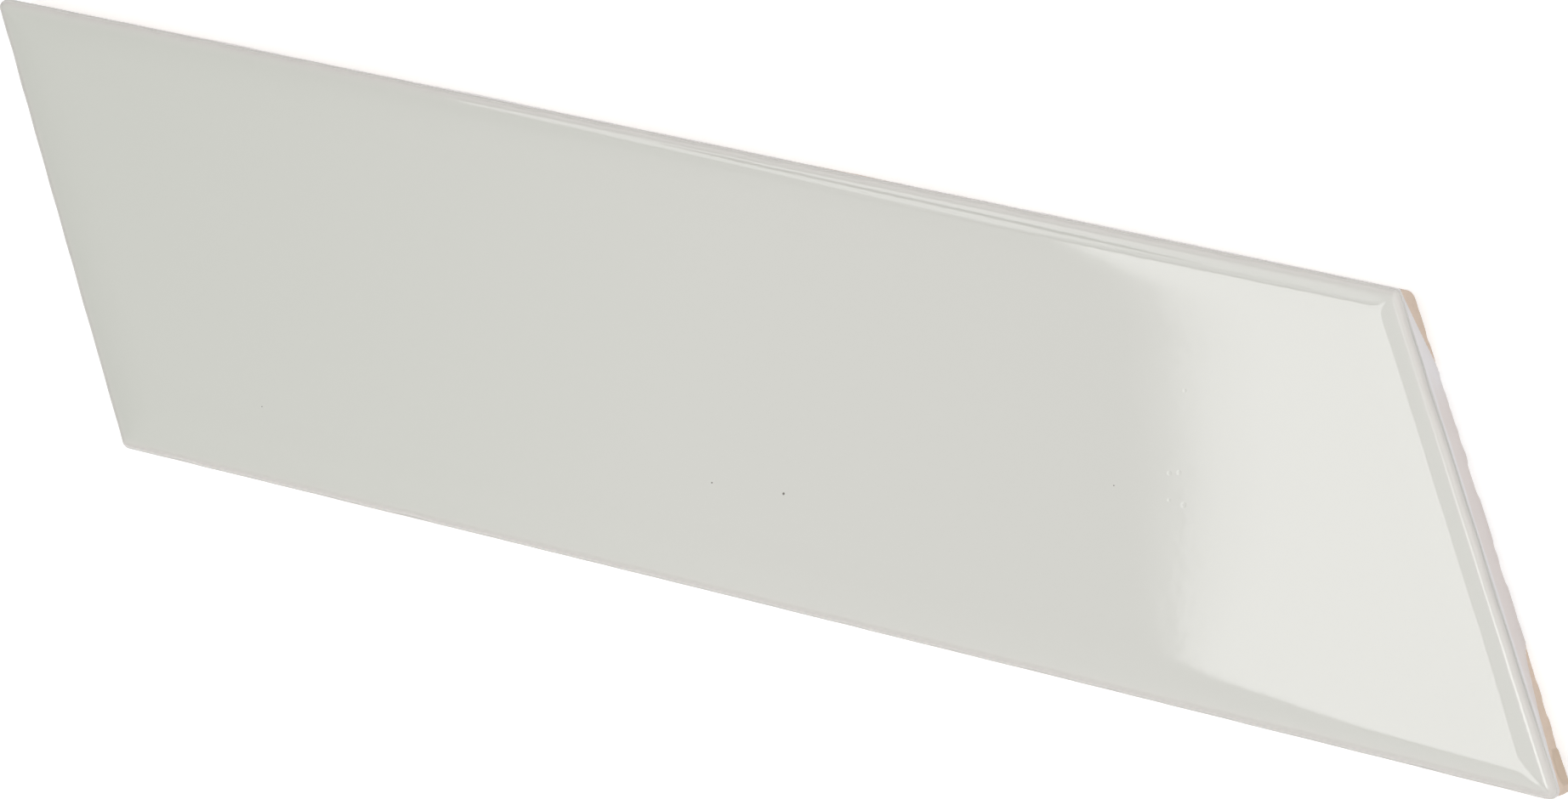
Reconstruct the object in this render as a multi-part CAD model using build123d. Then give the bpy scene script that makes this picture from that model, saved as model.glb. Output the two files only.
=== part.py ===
from build123d import *

import math
import os

# Chevron wall tile: one pressed and fired ceramic piece, a slanted strip with a cushioned glazed face.
# Millimetres. It lies on its back on Z = 0 with the glazed face up, and its long sides run along X.
# The origin is the middle of the back.

# Outline
LONG_SIDE = 186.0      # length of a long side, corner to corner
WIDTH = 52.0           # distance between the two long sides
ACUTE_ANGLE = 60.0     # sharp corner of the slanted outline, degrees

# Section
THICKNESS = 8.3        # back to the flat middle of the glazed face
CUSHION_WIDTH = 5.5    # border of the face that rolls off towards each side
CUSHION_DROP = 0.6     # how far that border falls where its curve meets the wall
EDGE_RADIUS = 1.0      # rounding of the upright corners, the arris and the mitres of the cushion
BACK_CHAMFER = 0.4     # broken edge round the back

# Spacer lugs, one low pad on each end wall beside the sharp corner
LUG_GAP = 0.2          # from the rounding of the upright corner to the pad
LUG_LENGTH = 3.9       # along the wall
LUG_HEIGHT = 4.8       # top of the pad above the back
LUG_PROUD = 0.4        # how far the pad stands out of the wall
LUG_ROUND = 1.7        # rounded upper corners of the pad
LUG_SOFTENING = 0.25   # softened rim of its outer face

# Keying of the back, a grid of shallow cells that the adhesive fills
KEY_ROWS = 4           # cells across the width
KEY_COLUMNS = 10       # cells along the length
KEY_BORDER = 4.0       # plain land round the grid, measured square to the sides
KEY_RIB = 2.4          # land between two cells, measured square to its length
KEY_DEPTH = 0.6        # depth of a cell
KEY_DRAFT = 20.0       # slope of the cell walls for release from the press, degrees
KEY_RADIUS = 0.8       # rounded corners of a cell

SLOPE = math.radians(ACUTE_ANGLE)
UP = Vector(0, 0, 1)
END_DIRECTION = Vector(-math.cos(SLOPE), math.sin(SLOPE), 0)
END_OUTWARD = END_DIRECTION.cross(UP)
WALL_TOP = THICKNESS - CUSHION_DROP


def cushioned_bar(across, run):
    """Endless bar with the tile's section between two opposite sides, lying along the direction run."""
    half = across / 2
    shoulder = half - CUSHION_WIDTH
    flat_top = Line((-shoulder, THICKNESS), (shoulder, THICKNESS))
    right_roll = TangentArc((shoulder, THICKNESS), (half, WALL_TOP), tangent=(1, 0))
    left_roll = TangentArc((-shoulder, THICKNESS), (-half, WALL_TOP), tangent=(-1, 0))
    walls_and_back = Polyline((half, WALL_TOP), (half, 0), (-half, 0), (-half, WALL_TOP))
    section = make_face(flat_top + right_roll + walls_and_back + left_roll)
    section_plane = Plane(origin=(0, 0, 0), x_dir=UP.cross(run), z_dir=run)
    return extrude(section_plane * section, amount=LONG_SIDE + WIDTH, both=True)


def slanted_face(length, width):
    """Parallelogram with the tile's slant, centred, its length along X and its width square to that."""
    lean = width / 2 / math.tan(SLOPE)
    low = -width / 2
    high = width / 2
    return make_face(
        Polyline(
            (lean - length / 2, low),
            (lean + length / 2, low),
            (length / 2 - lean, high),
            (-length / 2 - lean, high),
            close=True,
        )
    )


def spacer_lug():
    """Low pad on the end wall at +X: an outline with rounded upper corners, pushed out of the wall."""
    sharp_corner = (LONG_SIDE / 2 + WIDTH / 2 / math.tan(SLOPE), -WIDTH / 2, 0)
    wall = Plane(origin=sharp_corner, x_dir=END_DIRECTION, z_dir=END_OUTWARD)
    start = EDGE_RADIUS / math.tan(SLOPE / 2) + LUG_GAP
    middle = start + LUG_LENGTH / 2
    height = LUG_HEIGHT - BACK_CHAMFER
    outline = Pos(middle, BACK_CHAMFER + height / 2) * Rectangle(LUG_LENGTH, height)
    outline = fillet(outline.vertices().group_by(Axis.Y)[-1], LUG_ROUND)
    rooted = wall.offset(-EDGE_RADIUS) * outline
    pad = extrude(rooted, amount=EDGE_RADIUS + LUG_PROUD)
    outer_face = pad.faces().sort_by(Axis((0, 0, 0), END_OUTWARD))[-1]
    return fillet(outer_face.edges(), LUG_SOFTENING)


def key_cells():
    """Grid of drafted cells, in rows along the long sides and columns along the slanted ends."""
    rib_along = KEY_RIB / math.sin(SLOPE)
    border_along = KEY_BORDER / math.sin(SLOPE)
    cell_length = (LONG_SIDE - 2 * border_along - (KEY_COLUMNS - 1) * rib_along) / KEY_COLUMNS
    cell_width = (WIDTH - 2 * KEY_BORDER - (KEY_ROWS - 1) * KEY_RIB) / KEY_ROWS
    mouth = slanted_face(cell_length, cell_width)
    mouth = fillet(mouth.vertices(), KEY_RADIUS)
    cell = extrude(mouth, amount=KEY_DEPTH, taper=KEY_DRAFT)
    cells = []
    for row in range(KEY_ROWS):
        y = (row - (KEY_ROWS - 1) / 2) * (cell_width + KEY_RIB)
        for column in range(KEY_COLUMNS):
            along = (column - (KEY_COLUMNS - 1) / 2) * (cell_length + rib_along)
            cells.append(Pos(along - y / math.tan(SLOPE), y, 0) * cell)
    return cells


def chevron_tile():
    """Two crossed cushioned bars meet in the slanted strip, which is then rounded, lugged and keyed."""
    between_long_sides = cushioned_bar(WIDTH, Vector(1, 0, 0))
    between_ends = cushioned_bar(LONG_SIDE * math.sin(SLOPE), END_DIRECTION)
    tile = between_long_sides & between_ends
    sharp_edges = tile.edges().filter_by_position(Axis.Z, 0, THICKNESS, inclusive=(False, False))
    tile = fillet(sharp_edges, EDGE_RADIUS)
    back_edges = tile.edges().group_by(Axis.Z)[0]
    tile = chamfer(back_edges, BACK_CHAMFER)
    lug = spacer_lug()
    tile = tile + lug + Rot(0, 0, 180) * lug
    return tile - key_cells()


os.makedirs("parts", exist_ok=True)
export_step(chevron_tile().solid(), "parts/chevron_tile.step")
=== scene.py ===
import math

import bpy
import numpy as np
from mathutils import Matrix, Vector


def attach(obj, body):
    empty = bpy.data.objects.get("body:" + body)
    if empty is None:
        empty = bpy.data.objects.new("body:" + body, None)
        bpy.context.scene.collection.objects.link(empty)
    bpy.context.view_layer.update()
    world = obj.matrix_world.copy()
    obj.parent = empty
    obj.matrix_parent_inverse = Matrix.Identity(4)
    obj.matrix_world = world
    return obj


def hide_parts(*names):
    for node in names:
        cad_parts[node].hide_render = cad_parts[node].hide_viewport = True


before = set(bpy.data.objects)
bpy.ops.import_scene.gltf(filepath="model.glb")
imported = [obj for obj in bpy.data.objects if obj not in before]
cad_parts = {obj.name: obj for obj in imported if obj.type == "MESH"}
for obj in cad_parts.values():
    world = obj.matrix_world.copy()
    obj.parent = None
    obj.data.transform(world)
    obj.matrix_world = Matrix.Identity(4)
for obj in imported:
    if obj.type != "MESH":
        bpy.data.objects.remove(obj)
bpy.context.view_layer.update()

# Looks of the chevron wall tile: the glazed face with its cushioned border, the walls with the glaze that
# ran down them, and the bare keyed back. Sizes are millimetres, turned into metres where a mesh or a place
# is made.

MM = 0.001

# Outline and section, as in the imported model
LONG_SIDE = 186.0
WIDTH = 52.0
SLOPE = math.radians(60.0)      # sharp corner of the slanted outline
THICKNESS = 8.3
CUSHION_WIDTH = 5.5
CUSHION_DROP = 0.6
EDGE_RADIUS = 1.0
BACK_CHAMFER = 0.4
LUG_GAP = 0.2
LUG_LENGTH = 3.9
LUG_HEIGHT = 4.8
LUG_ROUND = 1.7
LUG_SOFTENING = 0.25
KEY_ROWS = 4
KEY_COLUMNS = 10
KEY_BORDER = 4.0
KEY_RIB = 2.4
KEY_DEPTH = 0.6
KEY_DRAFT = math.radians(20.0)
KEY_RADIUS = 0.8

# Fine relief of the fired piece
TAIL_WIDTH = 10.0               # the face already dips faintly from this far inside a side
TAIL_DROP = 0.045               # and by this much at the side itself
MITRE_SHARPNESS = 16.0          # power of the rounded mitres: a higher one is sharper
LEDGE = 0.12                    # the wall stands this much outside the foot of the arris
FILM = 0.10                     # thickness of the glaze that ran down the walls
RIM_ROUND = 0.2                 # width of its rounded lower rim
BEAD = 0.05                     # bead along that rim
ARRIS_WAVES = 0.03              # unevenness of the glaze over the arris
LUG_RELIEF = 0.15               # rubbed lug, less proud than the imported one
BROKEN_EDGE = 0.22              # unevenness of the bare edge round the back
BOW = 0.12                      # sideways bow of the long sides from the firing
BOW_MIDDLE = 2 / 3              # share of it by which the middle moves towards +Y
LEFT_SHORTAGE = 0.2             # how far the left end stays short
WAVE_HEIGHT = 0.004             # long waves of the glazed face

# Heights below the face between which one form gives way to the next
ONTO_ARRIS = (0.4, 0.8)
ONTO_WALL = (1.3, 1.7)
ONTO_THIN_GLAZE = (1.5, 3.2)

# Heights above the back
CHIPS_FULL = 0.2                # the bare edge is broken fully below this
CHIPS_END = 1.2                 # and not at all above this
LUG_FOOT = (0.2, 1.2)           # a lug grows out of the wall between these
BACK_BELOW = 0.05               # what lies below this is back, without glaze

# Seeded waves: seed, number of sines, shortest and longest of them
FACE_WAVES = (11, 7, 35.0, 110.0)
SLOW_RUNS = (21, 6, 18.0, 60.0)
QUICK_RUNS = (22, 6, 4.0, 11.0)
THIN_PATCHES = (24, 6, 15.0, 50.0)
SMALL_CHIPS = (31, 9, 1.2, 5.0)
LARGE_CHIPS = (32, 6, 4.0, 14.0)
ARRIS_RIPPLES = (41, 9, 2.5, 12.0)
SIDES_APART = 400.0             # keeps the waves of the four sides from being alike

# Grid of the mesh
KEY_STEPS_ALONG = 18            # steps in one cell and rib along the length
KEY_STEPS_ACROSS = 32           # and across the width
LONG_STEPS = KEY_COLUMNS * KEY_STEPS_ALONG
SHORT_STEPS = KEY_ROWS * KEY_STEPS_ACROSS
FACE_INSET = 1.2                # the face grid ends here, and the rings of the border start
BACK_INSET = KEY_BORDER - KEY_RIB / 2
ARRIS_STEPS = 10
WALL_STEPS = 44
BACK_STEPS = 6
SHARP_ANGLE = math.radians(35)  # faces that meet at more than this keep a sharp edge

# The four sides, walked counter-clockwise, with the heading of each and the turn at its start
LOWER_LONG, RIGHT_END, UPPER_LONG, LEFT_END = range(4)
SIDE_HEADINGS = np.array([0.0, math.pi - SLOPE, math.pi, 2 * math.pi - SLOPE])
CORNER_TURNS = np.array([SLOPE, math.pi - SLOPE, SLOPE, math.pi - SLOPE])


def smooth_step(value, low, high):
    """0 below low, 1 above high, and the cubic 3t2 - 2t3 between them."""
    t = np.clip((value - low) / (high - low), 0, 1)
    return t * t * (3 - 2 * t)


def waves(seed, count, shortest, longest, *place):
    """Sum of sines of seeded direction, phase and length at the given place, with a spread of about one."""
    draw = np.random.default_rng(seed)
    total = np.zeros(np.broadcast(*place).shape)
    for _ in range(count):
        length = draw.uniform(shortest, longest)
        direction = draw.normal(size=len(place))
        direction /= np.linalg.norm(direction)
        phase = draw.uniform(0, 2 * math.pi)
        run = sum(part * axis for part, axis in zip(direction, place))
        total += np.sin(2 * math.pi * run / length + phase)
    return total * math.sqrt(2 / count)


# Section across the border of the face

ROLL_RADIUS = (CUSHION_WIDTH**2 + CUSHION_DROP**2) / (2 * CUSHION_DROP)
ARRIS_CENTRE_INSET = EDGE_RADIUS + LEDGE
ARRIS_START = math.asin((CUSHION_WIDTH - ARRIS_CENTRE_INSET) / (ROLL_RADIUS - EDGE_RADIUS))
ARRIS_CENTRE_HEIGHT = (
    THICKNESS - ROLL_RADIUS + (ROLL_RADIUS - EDGE_RADIUS) * math.cos(ARRIS_START)
)


def roll_off(inset):
    """Drop of the face at an inset from one side: a circular arc over the cushion and a faint parabola."""
    into_roll = np.clip(CUSHION_WIDTH - inset, 0, None)
    arc = ROLL_RADIUS - np.sqrt(ROLL_RADIUS**2 - into_roll**2)
    into_tail = np.clip(1 - inset / TAIL_WIDTH, 0, None)
    return arc + TAIL_DROP * into_tail**2


def face_height(along, across):
    """Height of the face: the thickness, less the power sum of the four roll-offs.

    The power sum follows the largest of the four, and rounds the mitres where two of them are alike.
    """
    across_insets = (WIDTH / 2 - across, WIDTH / 2 + across)
    end_insets = ((LONG_SIDE / 2 - along) * math.sin(SLOPE), (LONG_SIDE / 2 + along) * math.sin(SLOPE))
    powers = sum(roll_off(inset) ** MITRE_SHARPNESS for inset in across_insets + end_insets)
    return THICKNESS - powers ** (1 / MITRE_SHARPNESS)


def border_section():
    """Insets and heights down one side, from the face grid to the back grid.

    The roll-off comes first, then a quarter round for the arris, a small ledge, the wall, a broken edge and
    the plain land of the back.
    """
    tangent_inset = ARRIS_CENTRE_INSET - EDGE_RADIUS * math.sin(ARRIS_START)
    roll_inset = np.linspace(FACE_INSET, tangent_inset, 3)[:-1]
    roll_height = THICKNESS - roll_off(roll_inset)

    angle = np.linspace(ARRIS_START, math.pi / 2, ARRIS_STEPS + 1)
    arris_inset = ARRIS_CENTRE_INSET - EDGE_RADIUS * np.sin(angle)
    tail = TAIL_DROP * (1 - arris_inset / TAIL_WIDTH) ** 2
    arris_height = ARRIS_CENTRE_HEIGHT + EDGE_RADIUS * np.cos(angle) - tail

    # Two points of the ledge, as shares of its width: how far in, and how far below the foot of the arris
    ledge_inset = LEDGE * np.array([0.3, 0.0])
    ledge_height = arris_height[-1] - LEDGE * np.array([0.3, 0.9])

    wall_height = np.linspace(ledge_height[-1], BACK_CHAMFER, WALL_STEPS + 1)[1:]
    wall_inset = np.zeros(WALL_STEPS)

    chamfer_inset = BACK_CHAMFER * np.array([1, 2, 3]) / 3
    chamfer_height = BACK_CHAMFER - chamfer_inset

    land_inset = np.linspace(BACK_CHAMFER, BACK_INSET, BACK_STEPS + 1)[1:]
    land_height = np.zeros(BACK_STEPS)

    insets = [roll_inset, arris_inset, ledge_inset, wall_inset, chamfer_inset, land_inset]
    heights = [roll_height, arris_height, ledge_height, wall_height, chamfer_height, land_height]
    return np.concatenate(insets), np.concatenate(heights)


# Lines of the grids

def face_shares(steps):
    """Shares 0 to 1 along a side, in steps that grow exponentially from fine at both corners to even."""
    fine = 0.15
    reach = 12
    number = np.arange(steps)
    step = 1 - (1 - fine) * (np.exp(-number / reach) + np.exp(-(steps - 1 - number) / reach))
    return np.concatenate([[0], np.cumsum(step)]) / step.sum()


def key_shares(cells, steps, rim_share):
    """Shares 0 to 1 across a row of cells and ribs, gathered at the rims of the cells.

    From the middle of a rib to the middle of a cell the share is the usual sinh stretch about the rim. It
    is mirrored for the other half of the cell and repeated for each cell.
    """
    strength = 7.0
    grown = math.exp(strength) - 1
    shrunk = math.exp(-strength) - 1
    middle = math.log((1 + grown * rim_share) / (1 + shrunk * rim_share)) / (2 * strength)
    number = np.linspace(0, 1, steps // 2 + 1)
    half = rim_share * (1 + np.sinh(strength * (number - middle)) / math.sinh(strength * middle))
    one_cell = np.concatenate([half, 2 - half[-2::-1]])[:-1] / 2
    repeated = (np.arange(cells)[:, None] + one_cell).ravel() / cells
    return np.append(repeated, 1.0)


def round_the_rim(long_shares, short_shares):
    """Shares round the outline, side after side, each without its last point."""
    return np.concatenate([long_shares[:-1], short_shares[:-1], long_shares[:-1], short_shares[:-1]])


def skewed(along, across):
    """Places in the plane for distances along the length and across the width of the slanted strip."""
    return along - across / math.tan(SLOPE), across


def outline(inset, share, side):
    """Points and outward directions on the outline pulled in by an inset, and the way along the side.

    Each side is walked at an even pace from the middle of one corner's arc to the middle of the next: half
    an arc, a straight and half an arc. A corner's radius shrinks with the inset until the corner is sharp.
    """
    radius = np.maximum(EDGE_RADIUS - inset, 1e-6)
    half_run = LONG_SIDE / 2 - inset / math.sin(SLOPE)
    half_width = WIDTH / 2 - inset
    along_sign = np.array([-1, 1, 1, -1])[side]
    across_sign = np.array([-1, -1, 1, 1])[side]
    corner_x, corner_y = skewed(along_sign * half_run, across_sign * half_width)
    is_long = (side == LOWER_LONG) | (side == UPPER_LONG)
    length = np.where(is_long, 2 * half_run, 2 * half_width / math.sin(SLOPE))
    turn_in = CORNER_TURNS[side] / 2
    turn_out = CORNER_TURNS[(side + 1) % 4] / 2
    straight = length - radius * (np.tan(turn_in) + np.tan(turn_out))
    way = share * (radius * (turn_in + turn_out) + straight)
    on_straight = np.clip(way - radius * turn_in, 0, straight)
    before = np.clip(turn_in - way / radius, 0, None)
    after = np.clip((way - radius * turn_in - straight) / radius, 0, turn_out)
    heading = SIDE_HEADINGS[side]
    facing = heading - before + after - math.pi / 2
    square = heading - math.pi / 2
    from_corner = radius * np.tan(turn_in) + on_straight
    x = corner_x + from_corner * np.cos(heading) + radius * (np.cos(facing) - np.cos(square))
    y = corner_y + from_corner * np.sin(heading) + radius * (np.sin(facing) - np.sin(square))
    return x, y, np.cos(facing), np.sin(facing), from_corner


# The walls

def glaze_rim(side, from_corner):
    """Height above the back at which the glaze ends on the walls, from the start corner of each side.

    On the right end it follows a few chosen heights: it ends just below the arris beside both corners, and
    runs down to the back between them. On the other sides it is a slow wave with a few deeper runs.
    """
    end_length = WIDTH / math.sin(SLOPE)
    share = np.array([0.0, 0.03, 0.075, 0.16, 0.28, 0.31, 0.40, 0.75, 0.83, 1.0])
    height = np.array([6.5, 6.4, 5.8, 5.0, 2.2, 0.0, -1.5, -1.5, 0.0, 6.8])
    right_end = np.interp(from_corner / end_length, share, height)
    slow = waves(*SLOW_RUNS, from_corner, side * SIDES_APART)
    quick = waves(*QUICK_RUNS, from_corner, side * SIDES_APART)
    usual = 5.2
    highest = 6.5
    slow_height = 0.8
    quick_height = 0.16
    quick_height_right = 0.06
    deeper_run = 2.5 * smooth_step(slow, -0.4, -1.6)
    other = usual + slow_height * slow + quick_height * quick - deeper_run
    right_end = right_end + quick_height_right * quick
    return np.where(side == RIGHT_END, right_end, np.minimum(other, highest))


def glaze_thinness(side, from_corner, height):
    """How thin the glaze on the walls is: 0 is thick and 1 thin.

    It goes through chosen values along the right end, and in slow waves along the other sides. It is
    thickest just below the arris and thins over a few millimetres.
    """
    share = np.array([0.0, 0.12, 0.22, 0.32, 0.5, 0.76, 0.84, 1.0])
    thinness = np.array([0.2, 0.35, 0.7, 0.85, 1.2, 1.0, 0.25, 0.1])
    right_end = np.interp(from_corner * math.sin(SLOPE) / WIDTH, share, thinness)
    usual = 0.6
    spread = 0.3
    other = usual + spread * waves(*THIN_PATCHES, from_corner, side * SIDES_APART)
    below_arris = smooth_step(THICKNESS - height, *ONTO_THIN_GLAZE)
    return np.where(side == RIGHT_END, right_end, other) * below_arris


def crease_shade_amount(side, from_corner):
    """How much painted shade darkens the crease under the arris, 0 to 1.

    It goes in straight lines through chosen values along the right end, where it is most, and along the
    lower long side, where it fades out at the sharp corner. Elsewhere it is little.
    """
    way = np.array([0.0, 4.0, 12.0, 54.0, 59.0])
    crease_shade = np.array([0.0, 0.25, 1.0, 1.0, 0.3])
    right_end = np.interp(from_corner, way, crease_shade)
    fading = 15.0
    lower_long = np.interp(from_corner, [0.0, LONG_SIDE - fading, LONG_SIDE], [0.6, 0.6, 0.0])
    elsewhere = 0.15
    return np.select([side == RIGHT_END, side == LOWER_LONG], [right_end, lower_long], elsewhere)


def lug_shape(side, from_corner, height):
    """1 on a spacer lug and 0 off it: a rounded pad by its distance field, softened over its rim."""
    start = EDGE_RADIUS / math.tan(SLOPE / 2) + LUG_GAP
    middle = start + LUG_LENGTH / 2
    across = np.abs(from_corner - middle) - LUG_LENGTH / 2 + LUG_ROUND
    up = height - LUG_HEIGHT + LUG_ROUND
    outside = np.hypot(np.maximum(across, 0), np.maximum(up, 0)) - LUG_ROUND
    inside = np.minimum(np.maximum(across, up), 0)
    on_end = (side == RIGHT_END) | (side == LEFT_END)
    return np.where(on_end, smooth_step(-(outside + inside), -LUG_SOFTENING, LUG_SOFTENING), 0)


def wall_relief(side, from_corner, height, x, y):
    """How far the wall stands out of the outline, with its depth in the glaze and its share of a lug.

    Bare wall lies a film's thickness inside the outline. The glaze covers it with a rounded rim and a bead.
    The lugs stand out of it, and its lower edge is broken away where sums of sines are high. Above the
    wall, the glaze on the arris is uneven by another sum of sines.
    """
    drop = THICKNESS - height
    depth = height - glaze_rim(side, from_corner)
    lug = lug_shape(side, from_corner, height)
    cover = smooth_step(depth, 0, RIM_ROUND)
    bead = np.exp(-(((depth - RIM_ROUND) / RIM_ROUND) ** 2))
    on_wall = smooth_step(drop, *ONTO_WALL)
    on_arris = smooth_step(drop, *ONTO_ARRIS) * (1 - on_wall)
    small_chips = smooth_step(waves(*SMALL_CHIPS, x, y), -0.2, 0.9)
    large_chips = smooth_step(waves(*LARGE_CHIPS, x, y), 0.3, 1.4)
    broken = (small_chips + large_chips) / 2 * smooth_step(-height, -CHIPS_END, -CHIPS_FULL)
    relief = -FILM + FILM * cover + BEAD * bead * on_wall - BROKEN_EDGE * broken
    relief = relief + LUG_RELIEF * lug * smooth_step(height, *LUG_FOOT)
    uneven = ARRIS_WAVES * waves(*ARRIS_RIPPLES, x, y) * on_arris
    return relief * on_wall + uneven, depth, lug


# The back

def key_depth(along, across):
    """Depth of the keying cells: the distance inside a rounded slanted cell, over the draft of its wall."""
    rib_along = KEY_RIB / math.sin(SLOPE)
    border_along = KEY_BORDER / math.sin(SLOPE)
    cell_length = (LONG_SIDE - 2 * border_along - (KEY_COLUMNS - 1) * rib_along) / KEY_COLUMNS
    cell_width = (WIDTH - 2 * KEY_BORDER - (KEY_ROWS - 1) * KEY_RIB) / KEY_ROWS
    pitch_along = cell_length + rib_along
    pitch_across = cell_width + KEY_RIB
    local_along = np.mod(along + KEY_COLUMNS / 2 * pitch_along, pitch_along) - pitch_along / 2
    local_across = np.mod(across + KEY_ROWS / 2 * pitch_across, pitch_across) - pitch_across / 2
    past_end = (np.abs(local_along) - cell_length / 2) * math.sin(SLOPE) + KEY_RADIUS
    past_side = np.abs(local_across) - cell_width / 2 + KEY_RADIUS
    rounded = np.hypot(np.maximum(past_end, 0), np.maximum(past_side, 0)) - KEY_RADIUS
    distance = rounded + np.minimum(np.maximum(past_end, past_side), 0)
    return np.clip(-distance / math.tan(KEY_DRAFT), 0, KEY_DEPTH)


# Joining the surfaces

def rim_of(numbers):
    """Vertex numbers round the border of a grid, counter-clockwise from its first corner."""
    return np.concatenate([numbers[0, :-1], numbers[:-1, -1], numbers[-1, :0:-1], numbers[:0:-1, 0]])


def grid_quads(numbers):
    """Quads between neighbouring vertices of a grid, facing up where rows go across and columns along."""
    corners = [numbers[:-1, :-1], numbers[:-1, 1:], numbers[1:, 1:], numbers[1:, :-1]]
    return np.stack(corners, axis=-1).reshape(-1, 4)


def ring_quads(numbers):
    """Quads between neighbouring closed rings of vertices, facing away from the middle of the tile."""
    following = np.roll(numbers, -1, axis=1)
    corners = [numbers[:-1], numbers[1:], following[1:], following[:-1]]
    return np.stack(corners, axis=-1).reshape(-1, 4)


def tile_surface():
    """The closed surface of the tile: a face grid, rings down its sides and a back grid, joined at rims.

    Gives the vertices in millimetres, the quads, and for each vertex its depth in the glaze, how far it
    lies below the face, whether it is on a lug, how thin the glaze is there and how much painted shade
    it gets in the crease under the arris.
    """
    half_run = LONG_SIDE / 2 - FACE_INSET / math.sin(SLOPE)
    half_width = WIDTH / 2 - FACE_INSET
    long_shares = face_shares(LONG_STEPS)
    short_shares = face_shares(SHORT_STEPS)
    along, across = np.meshgrid((2 * long_shares - 1) * half_run, (2 * short_shares - 1) * half_width)
    face_x, face_y = skewed(along, across)
    face_z = face_height(along, across) + WAVE_HEIGHT * waves(*FACE_WAVES, face_x, face_y)
    face_numbers = np.arange(face_x.size).reshape(face_x.shape)
    face_rim = rim_of(face_numbers)

    back_run = LONG_SIDE / 2 - BACK_INSET / math.sin(SLOPE)
    back_width = WIDTH / 2 - BACK_INSET
    pitch_along = 2 * back_run / KEY_COLUMNS
    pitch_across = 2 * back_width / KEY_ROWS
    draft_run = KEY_DEPTH * math.tan(KEY_DRAFT) / 2
    rim_along = (KEY_RIB / 2 + draft_run) / math.sin(SLOPE) / (pitch_along / 2)
    rim_across = (KEY_RIB / 2 + draft_run) / (pitch_across / 2)
    key_long = key_shares(KEY_COLUMNS, KEY_STEPS_ALONG, rim_along)
    key_short = key_shares(KEY_ROWS, KEY_STEPS_ACROSS, rim_across)
    along, across = np.meshgrid((2 * key_long - 1) * back_run, (2 * key_short - 1) * back_width)
    back_x, back_y = skewed(along, across)
    back_z = key_depth(along, across)

    inset, height = border_section()
    ring_count = len(inset) - 2
    side = np.repeat(np.arange(4), [LONG_STEPS, SHORT_STEPS, LONG_STEPS, SHORT_STEPS])
    inset = inset[1:-1, None]
    height = np.repeat(height[1:-1, None], len(side), axis=1)
    on_land = smooth_step(inset, BACK_CHAMFER, BACK_INSET) * (height == 0)
    face_share = round_the_rim(long_shares, short_shares)
    back_share = round_the_rim(key_long, key_short)
    share = (1 - on_land) * face_share + on_land * back_share
    x, y, out_x, out_y, from_corner = outline(inset, share, side)
    rim_excess = face_z.ravel()[face_rim] - (THICKNESS - roll_off(FACE_INSET))
    height = height + rim_excess * np.clip(height / THICKNESS, 0, 1) ** 2
    relief, depth, lug = wall_relief(side, from_corner, height, x, y)
    thin = glaze_thinness(side, from_corner, height)
    crease_shade = crease_shade_amount(side, from_corner)
    relief = relief * smooth_step(height, 0.0, BACK_CHAMFER)
    x = x + relief * out_x
    y = y + relief * out_y
    far = 3.0
    depth = np.where(height < BACK_BELOW, -far, np.clip(depth, -far, far))

    ring_numbers = face_x.size + np.arange(ring_count * len(side)).reshape(ring_count, len(side))
    back_numbers = face_x.size + ring_numbers.size + np.arange(back_x.size).reshape(back_x.shape)
    all_rings = np.vstack([face_rim, ring_numbers, rim_of(back_numbers)])
    quads = np.vstack([grid_quads(face_numbers), ring_quads(all_rings), grid_quads(back_numbers)[:, ::-1]])
    vertices = np.stack(
        [np.concatenate([part.ravel() for part in parts]) for parts in
         ((face_x, x, back_x), (face_y, y, back_y), (face_z, height, back_z))],
        axis=-1,
    )
    vertices[:, 1] += BOW * (BOW_MIDDLE - (2 * vertices[:, 0] / LONG_SIDE) ** 2)
    vertices[:, 0] += LEFT_SHORTAGE * np.clip(-2 * vertices[:, 0] / LONG_SIDE, 0, None) ** 2

    no_face = np.zeros(face_x.size)
    no_back = np.zeros(back_x.size)
    attributes = {
        "glaze_depth": np.concatenate([no_face + far, depth.ravel(), no_back - far]),
        "down_wall": THICKNESS - vertices[:, 2],
        "on_lug": np.concatenate([no_face, lug.ravel(), no_back]),
        "thin_glaze": np.concatenate([no_face, thin.ravel(), no_back]),
        "painted_crease_shade": np.concatenate([no_face, crease_shade.ravel(), no_back]),
    }
    return vertices, quads, attributes


def add_mesh(name, vertices, faces, material):
    """A new object at the origin from vertices in millimetres and faces of vertex numbers."""
    mesh = bpy.data.meshes.new(name)
    mesh.from_pydata(np.asarray(vertices) * MM, [], np.asarray(faces).tolist())
    mesh.materials.append(material)
    piece = bpy.data.objects.new(name, mesh)
    bpy.context.scene.collection.objects.link(piece)
    return piece


# Finishes

def new_material(name):
    """An empty node material and its node tree."""
    material = bpy.data.materials.new(name)
    material.use_nodes = True
    tree = material.node_tree
    tree.nodes.clear()
    return material, tree


def add_node(tree, kind, inputs=None, **settings):
    """A node with its settings, and its sockets set to a value or linked to another node's output."""
    node = tree.nodes.new(kind)
    for setting, value in settings.items():
        setattr(node, setting, value)
    for socket, value in (inputs or {}).items():
        if isinstance(value, bpy.types.NodeSocket):
            tree.links.new(value, node.inputs[socket])
        else:
            node.inputs[socket].default_value = value
    return node


def math_node(tree, operation, first, second=0.0, third=0.0):
    """The output of a Math node."""
    return add_node(tree, "ShaderNodeMath", {0: first, 1: second, 2: third}, operation=operation).outputs[0]


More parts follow.
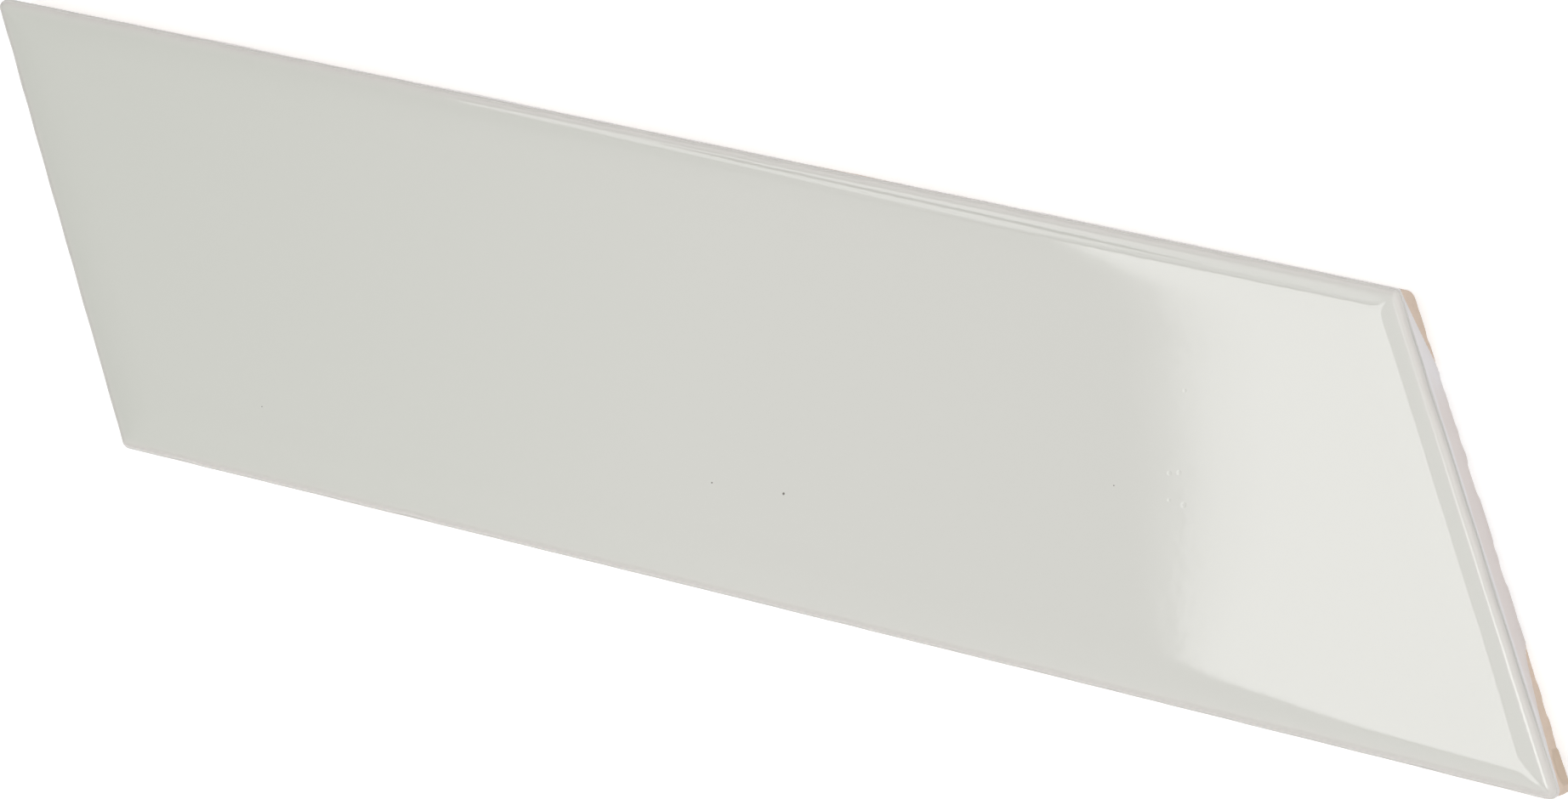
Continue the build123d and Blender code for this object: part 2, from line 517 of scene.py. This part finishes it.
def ramp_between(tree, value, low, high, start=0.0, end=1.0):
    """Smooth change from start to end as the value goes from low to high."""
    inputs = {"Value": value, "From Min": low, "From Max": high, "To Min": start, "To Max": end}
    node = add_node(tree, "ShaderNodeMapRange", inputs, interpolation_type="SMOOTHSTEP")
    return node.outputs["Result"]


def noise(tree, place, size, detail=2.0, roughness=0.5):
    """Noise with features of about the given size in millimetres."""
    inputs = {"Vector": place, "Scale": 1 / (size * MM), "Detail": detail, "Roughness": roughness}
    return add_node(tree, "ShaderNodeTexNoise", inputs).outputs["Fac"]


def mix_colours(tree, share, first, second):
    """Colour from first to second by the share."""
    return add_node(tree, "ShaderNodeMix", {0: share, 6: first, 7: second}, data_type="RGBA").outputs[2]


def mix_values(tree, share, first, second):
    """Value from first to second by the share."""
    return add_node(tree, "ShaderNodeMix", {0: share, 2: first, 3: second}, data_type="FLOAT").outputs[0]


def attribute(tree, name):
    """Value of a vertex attribute of the mesh."""
    return add_node(tree, "ShaderNodeAttribute", attribute_name=name).outputs["Fac"]


# Tones of the glaze on the face, of the thin wash on the walls and of the bare biscuit
GLAZE_LEFT = (0.628, 0.637, 0.585, 1.0)
GLAZE_RIGHT = (0.639, 0.637, 0.594, 1.0)
# Warmer, lighter tone of the arris: a painted warm sheen
GLAZE_ARRIS_SHEEN = (0.681, 0.655, 0.620, 1.0)
# Painted shade for the crease under the arris
GLAZE_CREASE_SHADE = (0.55, 0.535, 0.513, 1.0)
WASH_THICK = (0.668, 0.645, 0.66, 1.0)
# Whiter tone along the bead of the glaze: thicker glaze, lightened further as a painted highlight
WASH_BEAD_AND_HIGHLIGHT = (0.74, 0.715, 0.72, 1.0)
WASH_THIN = (0.615, 0.548, 0.525, 1.0)
BISCUIT = (0.69, 0.556, 0.452, 1.0)
BISCUIT_PALE = (0.745, 0.605, 0.495, 1.0)
BISCUIT_DARK = (0.54, 0.42, 0.32, 1.0)
LUG_TAN = (0.61, 0.48, 0.37, 1.0)
# Painted shadow line round the rim of a lug
LUG_RIM_SHADOW = (0.44, 0.34, 0.25, 1.0)
SPECK_TONE = (0.16, 0.15, 0.13, 1.0)

# Gloss
GLAZE_ROUGHNESS = 0.032
WASH_ROUGHNESS = 0.30
BISCUIT_ROUGHNESS = 0.85
GLAZE_INDEX = 1.5               # refractive index

# Heights below the face between which one tone gives way to the next
# Heights of the band of painted warm sheen on the arris
ARRIS_SHEEN_BAND = (0.3, 0.65)
# Heights of the band of painted shade in the crease under the arris
CREASE_SHADE_START = (0.7, 1.40)
CREASE_SHADE_END = (1.49, 1.55)
WASH_START = (1.47, 1.60)

# Depths in the glaze, from its lower rim, between which its cover starts and its bead ends
COVER_START = (-0.07, 0.07)
BEAD_END = (0.10, 0.45)

# Patterns of the finish
TONE_START = -70.0              # the tone of the glaze changes along X from here
TONE_END = 60.0                 # to here
CLOUD_SIZE = 28.0
CLOUD_SHIFT = 60.0              # clouds move that change by up to this much
RAGGED_SIZE = 1.2
RAGGED_RANGE = 0.5              # from the highest to the lowest point of the ragged rim of the glaze
PATCH_SIZE = 5.0
PATCH_RANGE = 0.9               # range of the patches in the thin wash
PALE_SIZE = 16.0
PALE_SHARE = (0.4, 0.65)        # noise between which the biscuit turns pale
GRAIN_SIZE = 0.5
GRAIN_SHARE = (0.55, 0.9)       # noise between which its grains turn dark

# Relief of the finish
PEEL_SIZE = 5.0
PEEL_HEIGHT = 0.004
FINE_PEEL_SIZE = 1.4
FINE_PEEL_HEIGHT = 0.003
SAND_SIZE = 0.35
SAND_HEIGHT = 0.08

# Pinholes in the glaze of the face: place along X and Y, and radius
PINHOLES = ((10.6, -12.4, 0.16), (1.4, -13.1, 0.10), (-59.2, -16.8, 0.07), (50.2, -2.7, 0.07))
PINHOLE_DEPTH = 0.05

# Small dents in the same glaze
DENTS = ((56.2, 9.7, 0.20), (56.4, 0.1, 0.25), (57.5, 0.4, 0.26), (57.0, -2.9, 0.18), (58.8, -3.1, 0.30))
DENT_DEPTH = 0.014


def spots(tree, place, centres):
    """1 inside the spots of the face and 0 elsewhere, by the distance to the middle of each of them."""
    core = 0.5
    rim = 1.3
    total = None
    for x, y, radius in centres:
        middle = (x * MM, y * MM, THICKNESS * MM)
        distance = add_node(tree, "ShaderNodeVectorMath", {0: place, 1: middle}, operation="DISTANCE")
        dot = ramp_between(tree, distance.outputs["Value"], core * radius * MM, rim * radius * MM, 1.0, 0.0)
        total = dot if total is None else math_node(tree, "MAXIMUM", total, dot)
    return total


def fired_finish():
    """Glaze, thin wash and bare biscuit in one finish, told apart by the glaze depth on the mesh."""
    material, tree = new_material("glazed_tile")
    place = add_node(tree, "ShaderNodeTexCoord").outputs["Object"]
    depth = attribute(tree, "glaze_depth")
    down_wall = attribute(tree, "down_wall")
    on_lug = attribute(tree, "on_lug")

    # Where the glaze ends
    ragged = noise(tree, place, RAGGED_SIZE, detail=3.0)
    ragged = math_node(tree, "MULTIPLY_ADD", ragged, RAGGED_RANGE, -RAGGED_RANGE / 2)
    uneven_depth = math_node(tree, "ADD", depth, ragged)
    covered = ramp_between(tree, uneven_depth, *COVER_START)
    bead = ramp_between(tree, uneven_depth, *BEAD_END, 1.0, 0.0)

    # Glaze of the face and the arris, with a painted warm sheen on the arris and painted shade in the crease
    # under it
    along = add_node(tree, "ShaderNodeSeparateXYZ", {"Vector": place}).outputs["X"]
    clouds = noise(tree, place, CLOUD_SIZE, detail=3.0)
    clouds = math_node(tree, "MULTIPLY_ADD", clouds, CLOUD_SHIFT * MM, along)
    tone = ramp_between(tree, clouds, TONE_START * MM, TONE_END * MM)
    glaze = mix_colours(tree, tone, GLAZE_LEFT, GLAZE_RIGHT)
    dots = spots(tree, place, PINHOLES)
    glaze = mix_colours(tree, dots, glaze, SPECK_TONE)
    # Painted warm sheen over the arris
    glaze = mix_colours(tree, ramp_between(tree, down_wall, *ARRIS_SHEEN_BAND), glaze, GLAZE_ARRIS_SHEEN)
    # Painted shade in the crease at the foot of the arris, strongest along the right end
    above_crease_shade_end = ramp_between(tree, down_wall, *CREASE_SHADE_END, 1.0, 0.0)
    foot = math_node(tree, "MULTIPLY", ramp_between(tree, down_wall, *CREASE_SHADE_START), above_crease_shade_end)
    foot = math_node(tree, "MULTIPLY", foot, attribute(tree, "painted_crease_shade"))
    glaze = mix_colours(tree, foot, glaze, GLAZE_CREASE_SHADE)

    # Wash on the walls
    patches = noise(tree, place, PATCH_SIZE, detail=3.0)
    patches = math_node(tree, "MULTIPLY_ADD", patches, PATCH_RANGE, -PATCH_RANGE / 2)
    thin = ramp_between(tree, math_node(tree, "ADD", attribute(tree, "thin_glaze"), patches), 0.0, 1.0)
    thin = math_node(tree, "MULTIPLY", thin, math_node(tree, "SUBTRACT", 1.0, bead))
    wash = mix_colours(tree, thin, WASH_THICK, WASH_THIN)
    # Along the bead the wash turns whiter: thicker glaze and a painted highlight
    wash = mix_colours(tree, bead, wash, WASH_BEAD_AND_HIGHLIGHT)
    on_wall = ramp_between(tree, down_wall, *WASH_START)
    glaze = mix_colours(tree, on_wall, glaze, wash)

    # Biscuit and lugs, with a painted shadow line round each lug
    grain = noise(tree, place, GRAIN_SIZE, detail=4.0, roughness=0.7)
    pale = ramp_between(tree, noise(tree, place, PALE_SIZE, detail=4.0), *PALE_SHARE)
    biscuit = mix_colours(tree, pale, BISCUIT, BISCUIT_PALE)
    biscuit = mix_colours(tree, ramp_between(tree, grain, *GRAIN_SHARE), biscuit, BISCUIT_DARK)
    biscuit = mix_colours(tree, on_lug, biscuit, LUG_TAN)
    # Painted shadow line where the lug meets the wall
    lug_rim_shadow = math_node(tree, "MULTIPLY", on_lug, math_node(tree, "SUBTRACT", 1.0, on_lug))
    biscuit = mix_colours(tree, lug_rim_shadow, biscuit, LUG_RIM_SHADOW)
    colour = mix_colours(tree, covered, biscuit, glaze)

    # Gloss
    glaze_gloss = mix_values(tree, on_wall, GLAZE_ROUGHNESS, WASH_ROUGHNESS)
    roughness = mix_values(tree, covered, BISCUIT_ROUGHNESS, glaze_gloss)

    # Relief, in metres
    peel = math_node(tree, "MULTIPLY", noise(tree, place, PEEL_SIZE), PEEL_HEIGHT * MM)
    fine_peel = noise(tree, place, FINE_PEEL_SIZE)
    peel = math_node(tree, "MULTIPLY_ADD", fine_peel, FINE_PEEL_HEIGHT * MM, peel)
    peel = math_node(tree, "MULTIPLY_ADD", spots(tree, place, DENTS), -DENT_DEPTH * MM, peel)
    glaze_relief = math_node(tree, "MULTIPLY_ADD", dots, -PINHOLE_DEPTH * MM, peel)
    sand = noise(tree, place, SAND_SIZE, detail=4.0, roughness=0.7)
    sand = math_node(tree, "MULTIPLY", sand, SAND_HEIGHT * MM)
    relief = mix_values(tree, covered, sand, glaze_relief)
    bump = add_node(tree, "ShaderNodeBump", {"Height": relief, "Distance": 1.0, "Strength": 1.0})

    normal = bump.outputs["Normal"]
    sockets = {"Base Color": colour, "Roughness": roughness, "Normal": normal, "IOR": GLAZE_INDEX}
    shader = add_node(tree, "ShaderNodeBsdfPrincipled", sockets)
    add_node(tree, "ShaderNodeOutputMaterial", {"Surface": shader.outputs["BSDF"]})
    return material


def chevron_tile():
    """The one piece: the worked-out surface with its finish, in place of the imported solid."""
    vertices, quads, attributes = tile_surface()
    tile = add_mesh("glazed_chevron_tile", vertices, quads, fired_finish())
    for name, values in attributes.items():
        layer = tile.data.attributes.new(name, "FLOAT", "POINT")
        layer.data.foreach_set("value", values.astype(np.float32))
    tile.data.shade_smooth()
    tile.data.set_sharp_from_angle(angle=SHARP_ANGLE)
    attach(tile, "root")
    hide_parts("chevron_tile")


# Floor, light and camera

FLOOR_PAINT = (0.86, 0.86, 0.86, 1.0)
FLOOR_GLOW = 0.42               # the floor's own glow towards the viewer
FLOOR_REACH = 4000.0

PANEL_HEIGHT = THICKNESS + 1000.0
CARD_STEP = 4.0                 # a card hangs this far above or below the panels that it meets
LAMP_STEP = 2.0                 # and the lamp beside the bright part this far above it
FILL_LEFT = -760.0              # left edge of the fill
FILL_FULL = -420.0              # where it has its full light

# Strength of the light, where 1 is white
ROOM_LIGHT = 0.43               # the room, as a light on the tile
MAIN_LIGHT = 5.2                # bright part of the overhead panel
FILL_LIGHT = 1.9                # fill beside it
FILL_NEAR = 1.7                 # fill at the edge of that part
FILL_FAR = 0.9                  # fill at its far left
GAP_LIGHT = 2.05                # between the bright part and the panel beside the right end
STRIP_LIGHT = 3.8               # strip behind the tile
BAR_LIGHT = 0.15                # dark bar across that strip
FRONT_BOX_LIGHT = 1.0

# The same for panels that fade, corner by corner
EDGE_LIGHT = (7.0, 7.0, 3.6, 3.6)
SIDE_BOX_LIGHT = (1.2, 1.2, 2.0, 2.0)
SIDE_CARD_LIGHT = (1.2, 1.2, 3.0, 3.0)
BACK_CARD_LIGHT = (1.0, 1.5, 2.6, 2.6, 1.5, 1.0)
BACK_BOX_LIGHT = (1.3, 2.3, 2.4, 1.3, 1.3, 1.0)
LOW_FILL_LIGHT = (FILL_FAR, FILL_LIGHT, GAP_LIGHT, GAP_LIGHT, FILL_LIGHT, FILL_FAR)
FRONT_CARD_LIGHT = (0.6, 2.0, 2.0, 0.6)
FLAG_LIGHT = (0.1, 0.1, 1.2, 1.2)

TWO_QUADS = ((0, 1, 4, 5), (1, 2, 3, 4))    # two quads side by side, from six corners in turn


def seen_by_viewer(tree):
    """1 for the camera's rays, also by way of a gloss or through something clear, and 0 for other rays."""
    path = add_node(tree, "ShaderNodeLightPath").outputs
    seen = math_node(tree, "MAXIMUM", path["Is Camera Ray"], path["Is Glossy Ray"])
    return math_node(tree, "MAXIMUM", seen, path["Is Transmission Ray"])


def level(height, *places):
    """Corners at one height, from their places along X and Y."""
    return [(x, y, height) for x, y in places]


def studio_floor():
    """A wide pale floor that keeps the tile's shadow. Part of its white is its own glow to the viewer."""
    material, tree = new_material("studio_floor")
    strength = math_node(tree, "MULTIPLY", seen_by_viewer(tree), FLOOR_GLOW)
    glow = add_node(tree, "ShaderNodeEmission", {"Strength": strength})
    paint = add_node(tree, "ShaderNodeBsdfDiffuse", {"Color": FLOOR_PAINT})
    both = add_node(tree, "ShaderNodeAddShader", {0: paint.outputs[0], 1: glow.outputs[0]})
    add_node(tree, "ShaderNodeOutputMaterial", {"Surface": both.outputs[0]})
    reach = FLOOR_REACH
    corners = level(0, (-reach, -reach), (reach, -reach), (reach, reach), (-reach, reach))
    add_mesh("studio_floor", corners, [(0, 1, 2, 3)], material)


def stage_panel(name, corners, glow, faces=None, card=False, lamp=False):
    """A lit panel beside or over the tile, from its corners and the strength of its light at each of them.

    The strength changes evenly between the corners, so a panel can fade out. A card shows in the glaze
    only: it lights nothing and casts no shadow. A lamp only lights, and doesn't show in the glaze.
    """
    material, tree = new_material(name)
    light = add_node(tree, "ShaderNodeEmission", {"Strength": attribute(tree, "glow")})
    add_node(tree, "ShaderNodeOutputMaterial", {"Surface": light.outputs[0]})
    panel = add_mesh(name, corners, [range(len(corners))] if faces is None else faces, material)
    layer = panel.data.attributes.new("glow", "FLOAT", "POINT")
    layer.data.foreach_set("value", np.broadcast_to(glow, len(corners)).astype(np.float32))
    panel.visible_camera = False
    panel.visible_glossy = not lamp
    panel.visible_diffuse = not card
    panel.visible_shadow = not card
    material.cycles.emission_sampling = "NONE" if card else "AUTO"


def ribbon(x, low, high, height):
    """Corners and quads of a level ribbon, from its low and its high edge at each place along X."""
    corners = np.stack([np.tile(x, 2), np.concatenate([low, high]), np.full(2 * len(x), height)], axis=1)
    return corners, grid_quads(np.arange(2 * len(x)).reshape(2, -1))


def beside_end(*corners):
    """Places of corners given as distance from the middle towards the right end, way along it and height."""
    out_x, out_y = math.sin(SLOPE), math.cos(SLOPE)
    return [(out * out_x - way * out_y, out * out_y + way * out_x, height) for out, way, height in corners]


def studio_room():
    """A white room, dimmer as a light on the tile than as it is seen."""
    world = bpy.data.worlds.new("studio_room")
    bpy.context.scene.world = world
    world.use_nodes = True
    tree = world.node_tree
    tree.nodes.clear()
    strength = mix_values(tree, seen_by_viewer(tree), ROOM_LIGHT, 1.0)
    room = add_node(tree, "ShaderNodeBackground", {"Strength": strength})
    add_node(tree, "ShaderNodeOutputWorld", {"Surface": room.outputs[0]})


def overhead_panel():
    """The large level panel: a bright part over the right of the tile, its soft left edge and a dim fill.

    It is a grid with a row for each place on the soft edge. Its columns are the far left of the fill, the
    place where the fill is brightest, five steps across the soft edge, and the right edge of the bright
    part. A lamp beside the bright part makes up for the corner that is cut off it.
    """
    edge_x = np.array(
        [-298, -290, -273, -256, -245, -243, -237, -232, -228, -225, -222, -212, -171, -132, -110, -96]
    )
    edge_y = np.array(
        [234, 190, 105, -8, -30, -48, -66, -82, -105, -124, -143, -242, -368, -407, -430, -466]
    )
    right_x = np.array([-67, -43, -15, 5, 22, 50, 62, 79, 76, 85, 80, 66, 40, -16, -72, -78])
    right_y = np.array(
        [270, 229, 180, 146, 113, 69, 36, 4, -28, -67, -120, -185, -250, -340, -430, -466]
    )
    softness = np.array([0.6, 0.6, 0.8, 1, 1, 1, 1, 1, 0.9, 0.7, 0.45, 0.4, 0.4, 0.4, 0.4, 0.4])
    soft_offset = np.array([-20, -4, 3, 12, 30])
    soft_share = np.array([0.0, 0.26, 0.62, 0.83, 1.0])
    each_row = np.ones((len(edge_x), 1))
    soft_x = edge_x[:, None] + np.outer(softness, soft_offset)
    x = np.hstack([FILL_LEFT * each_row, FILL_FULL * each_row, soft_x, right_x[:, None]])
    y = np.hstack([np.repeat(edge_y[:, None], x.shape[1] - 1, axis=1), right_y[:, None]])
    soft_glow = FILL_NEAR + (MAIN_LIGHT - FILL_NEAR) * soft_share
    row_glow = np.concatenate([[FILL_FAR, FILL_LIGHT], soft_glow, [MAIN_LIGHT]])
    glow = np.broadcast_to(row_glow, x.shape)
    corners = np.stack([x, y, np.full(x.shape, PANEL_HEIGHT)], axis=-1)
    for name, part, card in (("fill_card", slice(0, 3), True), ("main_panel", slice(2, None), False)):
        numbers = np.arange(x[:, part].size).reshape(x[:, part].shape)
        stage_panel(name, corners[:, part].reshape(-1, 3), glow[:, part].ravel(), grid_quads(numbers), card)
    lamp = level(PANEL_HEIGHT + LAMP_STEP, (92, -140), (-70, -448), (-50, -560), (92, -560))
    stage_panel("main_lamp", lamp, MAIN_LIGHT, lamp=True)


def studio_boxes():
    """The two leaning boxes that light the tile from its right end and from the front."""
    side_box = beside_end((900, -500, 100), (900, 500, 100), (560, 500, 1300), (560, -500, 1300))
    stage_panel("side_box", side_box, SIDE_BOX_LIGHT)
    front_box = [(-700, -900, 60), (700, -900, 60), (700, -650, 1100), (-700, -650, 1100)]
    stage_panel("front_box", front_box, FRONT_BOX_LIGHT)


def right_end_cards():
    """The bright card whose image is the line along the right end, and the dimmer one beside it."""
    top = PANEL_HEIGHT
    edge = beside_end(
        (211, -115, top), (480, -115, top), (211, -45, top), (480, -45, top),
        (222, 45, top), (480, 45, top), (226, 115, top), (480, 115, top),
    )
    edge_quads = [(0, 1, 3, 2), (2, 3, 5, 4), (4, 5, 7, 6)]
    stage_panel("edge_card", edge, np.repeat(EDGE_LIGHT, 2), edge_quads, card=True)
    above = top + CARD_STEP
    gap = beside_end((84, 240, above), (44, -120, above), (212, -120, above), (230, 240, above))
    stage_panel("gap_card", gap, GAP_LIGHT, card=True)


def border_cards():
    """The level cards whose images lie on the far and near borders, with a strip crossed by a dark bar."""
    above = PANEL_HEIGHT + CARD_STEP
    behind = level(
        above,
        (FILL_LEFT, 240), (FILL_FULL, 240), (-60, 275),
        (-60, 520), (FILL_FULL, 520), (FILL_LEFT, 520),
    )
    stage_panel("back_card", behind, BACK_CARD_LIGHT, TWO_QUADS, card=True)
    in_front = level(
        above,
        (FILL_LEFT, -640), (FILL_FULL, -640), (95, -640),
        (95, -100), (FILL_FULL, -100), (FILL_LEFT, -100),
    )
    stage_panel("low_fill_card", in_front, LOW_FILL_LIGHT, TWO_QUADS, card=True)

    strip_x = np.array([-560, -550, -501, -452, -421, -389, -358, -327, -297, -268, -239, -214, -195, -183])
    strip_low = np.array([384, 361, 343, 320, 306, 288, 275, 263, 271, 284, 296, 293, 286, 310])
    strip_high = np.array([480, 480, 480, 480, 480, 480, 480, 480, 440, 400, 379, 370, 350, 325])
    strip, strip_quads = ribbon(strip_x, strip_low, strip_high, PANEL_HEIGHT)
    strip_glow = STRIP_LIGHT * np.interp(strip[:, 0], [-330, -270], [1.0, 0.85])
    stage_panel("strip_card", strip, strip_glow, strip_quads, card=True)

    bar_x = np.array([-490, -459, -427, -396, -364, -333, -302, -275, -250])
    bar_y = np.array([384, 370, 357, 347, 338, 329, 316, 307, 299])
    bar_half = np.array([8, 12, 13, 13, 13, 13, 13, 9, 1])
    bar, bar_quads = ribbon(bar_x, bar_y - bar_half, bar_y + bar_half, PANEL_HEIGHT - CARD_STEP)
    stage_panel("bar_card", bar, BAR_LIGHT, bar_quads, card=True)


def room_cards():
    """The leaning cards whose images lie on the arris and the walls, and a dark flag on the left."""
    side_card = beside_end((840, -500, 120), (840, 500, 120), (640, 500, 760), (640, -500, 760))
    stage_panel("side_card", side_card, SIDE_CARD_LIGHT, card=True)
    back_low = level(60, (-700, 900), (-400, 900), (700, 900))
    back_high = level(1000, (700, 650), (-400, 650), (-700, 650))
    stage_panel("back_box_card", back_low + back_high, BACK_BOX_LIGHT, TWO_QUADS, card=True)
    front_card = [(-700, -880, 70), (700, -880, 70), (700, -630, 1090), (-700, -630, 1090)]
    stage_panel("front_card", front_card, FRONT_CARD_LIGHT, card=True)
    flag = [(-1100, -900, 20), (-1100, 900, 20), (-800, 900, 1150), (-800, -900, 1150)]
    stage_panel("left_flag", flag, FLAG_LIGHT, card=True)


def studio_light():
    """All the panels: overhead, the boxes, and the cards that show in the glaze only."""
    overhead_panel()
    studio_boxes()
    right_end_cards()
    border_cards()
    room_cards()


CAMERA_PLACE = Vector((209.628, 40.064, 525.527))
CAMERA_AIM = Vector((8.341, -1.529, THICKNESS))
CAMERA_ROLL = math.radians(11.24)
CAMERA_LENS = 108.448
CAMERA_SENSOR = 36.0            # width of the sensor that the lens is given for
CAMERA_NEAR = 0.01              # nearest and farthest that it sees, in metres
CAMERA_FAR = 50.0


def camera():
    """The camera at the photograph's viewing angle: aimed at a point of the face, then rolled."""
    forward = (CAMERA_AIM - CAMERA_PLACE).normalized()
    level_right = forward.cross(Vector((0, 1, 0))).normalized()
    level_up = level_right.cross(forward)
    right = level_right * math.cos(CAMERA_ROLL) + level_up * math.sin(CAMERA_ROLL)
    up = level_up * math.cos(CAMERA_ROLL) - level_right * math.sin(CAMERA_ROLL)
    data = bpy.data.cameras.new("camera")
    data.lens = CAMERA_LENS
    data.sensor_width = CAMERA_SENSOR
    data.sensor_fit = "HORIZONTAL"
    data.clip_start = CAMERA_NEAR
    data.clip_end = CAMERA_FAR
    eye = bpy.data.objects.new("camera", data)
    bpy.context.scene.collection.objects.link(eye)
    turn = Matrix((right, up, -forward)).transposed()
    eye.matrix_world = Matrix.Translation(CAMERA_PLACE * MM) @ turn.to_4x4()
    bpy.context.scene.camera = eye


chevron_tile()
studio_floor()
studio_room()
studio_light()
camera()
bpy.context.scene.view_settings.view_transform = "Standard"
